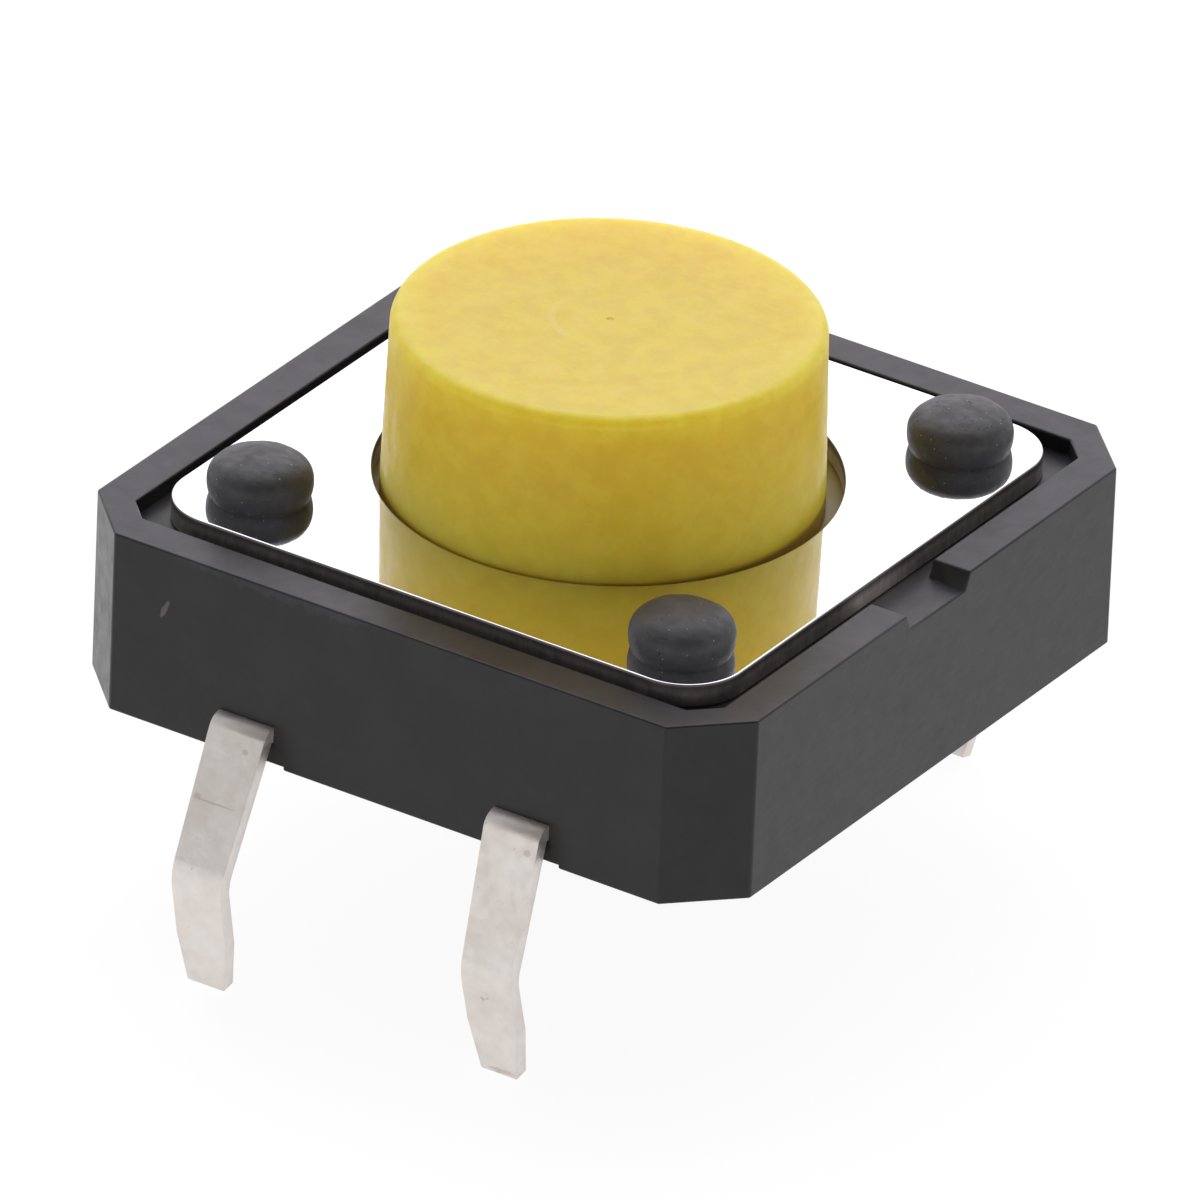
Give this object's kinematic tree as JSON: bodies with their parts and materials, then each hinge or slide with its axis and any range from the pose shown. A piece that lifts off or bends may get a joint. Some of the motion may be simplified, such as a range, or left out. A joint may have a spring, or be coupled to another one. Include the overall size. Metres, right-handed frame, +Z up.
{
  "type": "tactile push button switch",
  "caption": "Square through-hole tactile switch with a round sprung button under a riveted cover plate, and four kinked snap-in solder pins.",
  "frame": {"origin": "centre of the base's underside, where it sits on the circuit board", "axes": "+Z up through the button, +X along the two pins of one side, +Y from the front pins to the rear pins"},
  "size_m": [0.012, 0.014, 0.0095],
  "materials": {
    "black_plastic": "fine moulded, black",
    "bright_plate": "mirror bright stainless sheet",
    "yellow_plastic": "satin moulded, yellow",
    "spring_steel": "rolled",
    "tinned_sheet": "matte tin plating"
  },
  "bodies": {
    "housing": {"base": "black_plastic", "cover_plate": "bright_plate", "snap_dome": "spring_steel", "ring_terminal": "tinned_sheet", "centre_terminal": "tinned_sheet"},
    "plunger": {"button": "yellow_plastic"}
  },
  "joints": [
    {"name": "button_press", "type": "slide", "parent": "housing", "child": "plunger", "axis": [0, 0, -1], "range_m": [0, 0.0003], "stiffness_N_per_m": 6000, "springref_m": -0.00005, "deforming": ["snap_dome"]}
  ]
}
